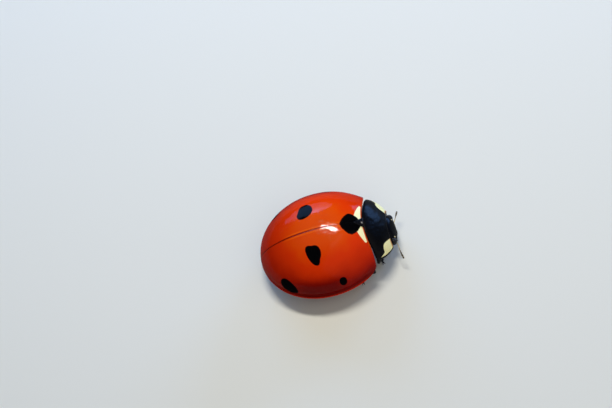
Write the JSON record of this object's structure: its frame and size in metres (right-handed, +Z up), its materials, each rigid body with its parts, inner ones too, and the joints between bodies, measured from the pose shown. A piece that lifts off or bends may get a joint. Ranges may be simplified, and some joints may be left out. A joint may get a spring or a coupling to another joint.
{
  "type": "seven-spot ladybird",
  "caption": "Life-size still model of a domed red beetle with black spots, standing on the soles of its feet.",
  "frame": {"origin": "on the ground, under the middle of the whole outline", "axes": "+X towards the head, +Y to the animal's left, +Z up"},
  "size_m": [0.0078, 0.006, 0.0033],
  "materials": {
    "red_shell": "glossy orange-red wing cases with black spots and white patches",
    "black_shell": "glossy black with fine pits, white front corners on the pronotum",
    "black_body": "satin black with short pale hairs",
    "eye": "glossy black, faceted",
    "feeler": "yellow-brown with darker ends"
  },
  "bodies": {
    "root": {"wing_case_left": "red_shell", "wing_case_right": "red_shell", "scutellum": "black_shell", "pronotum": "black_shell", "head": "black_shell", "eye_left": "eye", "eye_right": "eye", "mouthparts": "feeler", "feeler_left": "feeler", "feeler_right": "feeler", "forebody": "black_body", "thorax": "black_body", "abdomen": "black_body", "femur_front_left": "black_body", "tibia_front_left": "black_body", "tarsus_front_left": "black_body", "femur_middle_left": "black_body", "tibia_middle_left": "black_body", "tarsus_middle_left": "black_body", "femur_hind_left": "black_body", "tibia_hind_left": "black_body", "tarsus_hind_left": "black_body", "femur_front_right": "black_body", "tibia_front_right": "black_body", "tarsus_front_right": "black_body", "femur_middle_right": "black_body", "tibia_middle_right": "black_body", "tarsus_middle_right": "black_body", "femur_hind_right": "black_body", "tibia_hind_right": "black_body", "tarsus_hind_right": "black_body"}
  },
  "joints": []
}
